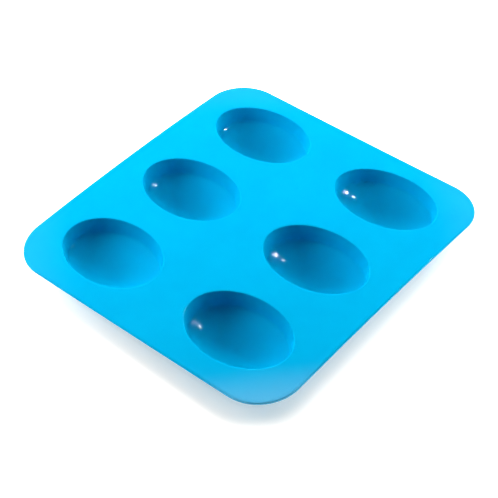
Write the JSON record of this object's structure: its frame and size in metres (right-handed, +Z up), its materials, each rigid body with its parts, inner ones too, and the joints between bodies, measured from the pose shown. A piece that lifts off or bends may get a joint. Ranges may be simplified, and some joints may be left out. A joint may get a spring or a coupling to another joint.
{
  "type": "silicone soap mould",
  "caption": "Flexible silicone mould: a thin rounded deck with oval domed cavities for casting bars of soap, whose floors push up to free the bars.",
  "frame": {"origin": "on the ground, under the middle of the deck", "axes": "+X along the long axis of the oval cavities, +Y along the rows of cavities, +Z up out of the cavities"},
  "size_m": [0.236, 0.252, 0.025],
  "materials": {
    "silicone": "satin, slightly translucent moulded silicone"
  },
  "bodies": {
    "tray": {"deck": "silicone", "cup_1_wall": "silicone", "cup_2_wall": "silicone", "cup_3_wall": "silicone", "cup_4_wall": "silicone", "cup_5_wall": "silicone", "cup_6_wall": "silicone"},
    "floor_1": {"cup_1_floor": "silicone"},
    "floor_2": {"cup_2_floor": "silicone"},
    "floor_3": {"cup_3_floor": "silicone"},
    "floor_4": {"cup_4_floor": "silicone"},
    "floor_5": {"cup_5_floor": "silicone"},
    "floor_6": {"cup_6_floor": "silicone"}
  },
  "joints": [
    {"name": "cup_1_push_out", "type": "slide", "parent": "tray", "child": "floor_1", "axis": [0, 0, 1], "range_m": [0, 0.01], "stiffness_N_per_m": 600, "springref_m": -0.0015},
    {"name": "cup_2_push_out", "type": "slide", "parent": "tray", "child": "floor_2", "axis": [0, 0, 1], "range_m": [0, 0.01], "stiffness_N_per_m": 600, "springref_m": -0.0015},
    {"name": "cup_3_push_out", "type": "slide", "parent": "tray", "child": "floor_3", "axis": [0, 0, 1], "range_m": [0, 0.01], "stiffness_N_per_m": 600, "springref_m": -0.0015},
    {"name": "cup_4_push_out", "type": "slide", "parent": "tray", "child": "floor_4", "axis": [0, 0, 1], "range_m": [0, 0.01], "stiffness_N_per_m": 600, "springref_m": -0.0015},
    {"name": "cup_5_push_out", "type": "slide", "parent": "tray", "child": "floor_5", "axis": [0, 0, 1], "range_m": [0, 0.01], "stiffness_N_per_m": 600, "springref_m": -0.0015},
    {"name": "cup_6_push_out", "type": "slide", "parent": "tray", "child": "floor_6", "axis": [0, 0, 1], "range_m": [0, 0.01], "stiffness_N_per_m": 600, "springref_m": -0.0015}
  ]
}
